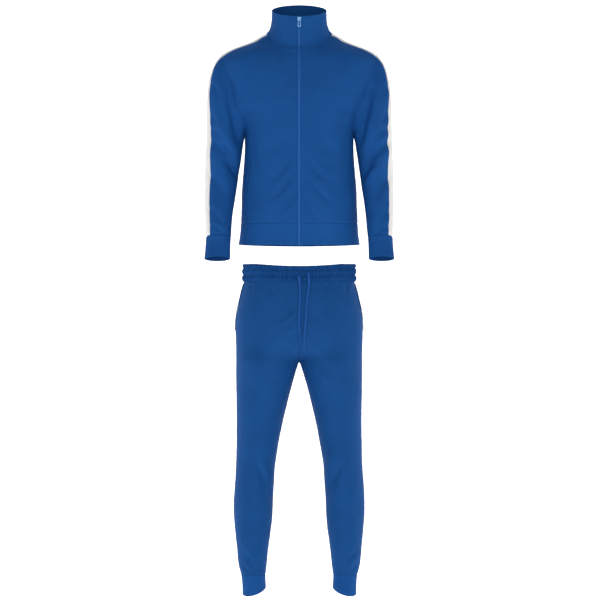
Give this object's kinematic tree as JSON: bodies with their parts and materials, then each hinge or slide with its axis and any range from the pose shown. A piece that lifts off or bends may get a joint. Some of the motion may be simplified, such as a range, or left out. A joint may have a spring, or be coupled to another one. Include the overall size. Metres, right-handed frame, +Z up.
{
  "type": "tracksuit jacket and joggers",
  "caption": "Royal blue zip-up tracksuit jacket with white shoulder and sleeve stripes, and joggers with an elastic drawcord waist, filled out as if worn.",
  "frame": {"origin": "where the wearer's shoulders carry the jacket: the middle of the body, at the height of the shoulder's neck point", "axes": "+Z up, -Y the front, +X the wearer's left"},
  "size_m": [0.597, 0.2893, 1.8645],
  "materials": {
    "knit": "smooth polyester knit, slight sheen",
    "rib_knit": "fine rib knit",
    "stripe": "smooth polyester knit",
    "zip_tape": "woven tape",
    "zip_chain": "moulded nylon teeth",
    "drawcord": "flat braid",
    "enamelled_metal": "pale blue enamel"
  },
  "bodies": {
    "suit": {"jacket_back": "knit", "jacket_collar": "knit", "jacket_front_left": "knit", "jacket_front_right": "knit", "jacket_hem_band": "rib_knit", "jacket_pocket_welt_left": "knit", "jacket_pocket_welt_right": "knit", "jacket_shoulder_stripe_left": "stripe", "jacket_shoulder_stripe_right": "stripe", "jacket_sleeve_cuff_left": "rib_knit", "jacket_sleeve_cuff_right": "rib_knit", "jacket_sleeve_left": "knit", "jacket_sleeve_right": "knit", "jacket_sleeve_stripe_left": "stripe", "jacket_sleeve_stripe_right": "stripe", "jacket_zip_bail": "enamelled_metal", "jacket_zip_chain": "zip_chain", "jacket_zip_slider": "enamelled_metal", "jacket_zip_tape_left": "zip_tape", "jacket_zip_tape_right": "zip_tape", "joggers_ankle_cuff_left": "rib_knit", "joggers_ankle_cuff_right": "rib_knit", "joggers_back_left": "knit", "joggers_back_right": "knit", "joggers_drawcord_left": "drawcord", "joggers_drawcord_right": "drawcord", "joggers_front_left": "knit", "joggers_front_right": "knit", "joggers_pocket_welt_left": "knit", "joggers_pocket_welt_right": "knit", "joggers_waistband": "rib_knit"},
    "pull_tab": {"jacket_zip_pull_tab": "enamelled_metal"}
  },
  "joints": [
    {"name": "pull_tab_swing", "type": "hinge", "parent": "suit", "child": "pull_tab", "pos_m": [0, -0.08355, 0.0458], "axis": [-1, 0, 0], "range_deg": [0, 150]}
  ]
}
